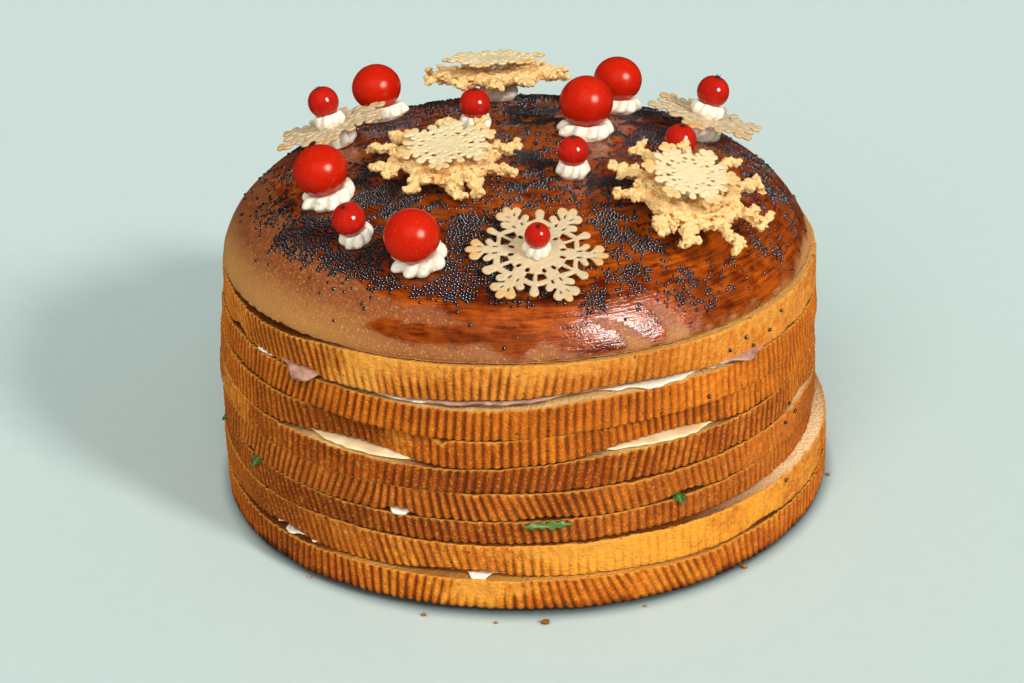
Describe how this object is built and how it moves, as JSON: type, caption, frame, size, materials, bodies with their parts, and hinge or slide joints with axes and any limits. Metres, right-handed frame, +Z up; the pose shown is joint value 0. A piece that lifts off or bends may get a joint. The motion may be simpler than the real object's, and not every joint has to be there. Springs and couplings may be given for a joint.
{
  "type": "savoury panettone",
  "caption": "Savoury panettone: a domed, glazed and seeded cap on stacked, filled bread slices, topped with tomatoes, redcurrants, snowflake cheese wafers and piped cream.",
  "frame": {"origin": "middle of the underside, where the loaf stands", "axes": "+Z up through the middle of the loaf, -Y towards the viewer of the picture, +X to their right"},
  "size_m": [0.2168, 0.218, 0.1402],
  "materials": {
    "glazed_crust": "glossy egg-washed crust",
    "crust": "baked crust, fine ribs",
    "cream": "soft piped cream",
    "spread": "soft pale spread",
    "ham": "moist cooked ham",
    "salmon": "moist smoked salmon",
    "leaf": "thin fresh leaf",
    "tomato": "glossy skin",
    "currant": "glossy translucent skin",
    "wafer": "dry baked cheese",
    "puff": "dry puffed cheese"
  },
  "bodies": {
    "root": {"bread_cap": "glazed_crust", "bread_slice_1": "crust", "bread_slice_2": "crust", "bread_slice_3": "crust", "bread_slice_4": "crust", "bread_slice_5": "crust", "bread_slice_6": "crust", "bread_slice_7": "crust", "bread_slice_8": "crust", "cream_1_2": "cream", "ham_1_2": "ham", "pale_spread_3_4": "spread", "cream_5_6": "cream", "cream_7_8": "cream", "salmon_7_8": "salmon", "green_leaf_1": "leaf", "green_leaf_2": "leaf", "green_leaf_3": "leaf", "green_leaf_4": "leaf", "tomato_1": "tomato", "tomato_2": "tomato", "tomato_3": "tomato", "tomato_4": "tomato", "tomato_5": "tomato", "redcurrant_1": "currant", "redcurrant_2": "currant", "redcurrant_3": "currant", "redcurrant_4": "currant", "redcurrant_5": "currant", "redcurrant_6": "currant", "redcurrant_7": "currant", "cream_star_1": "cream", "cream_star_2": "cream", "cream_star_3": "cream", "cream_star_4": "cream", "cream_star_5": "cream", "cream_star_6": "cream", "cream_star_7": "cream", "cream_star_8": "cream", "cream_star_9": "cream", "cream_star_10": "cream", "cream_star_11": "cream", "cream_star_12": "cream", "cream_star_13": "cream", "cream_star_14": "cream", "cream_star_15": "cream", "cream_star_16": "cream", "cream_star_17": "cream", "cream_star_18": "cream", "cream_star_19": "cream", "cream_star_20": "cream", "thin_wafer_1": "wafer", "thin_wafer_2": "wafer", "thin_wafer_3": "wafer", "thin_wafer_4": "wafer", "thin_wafer_5": "wafer", "thin_wafer_6": "wafer", "puffed_wafer_1": "puff", "puffed_wafer_2": "puff", "puffed_wafer_3": "puff"}
  },
  "joints": []
}
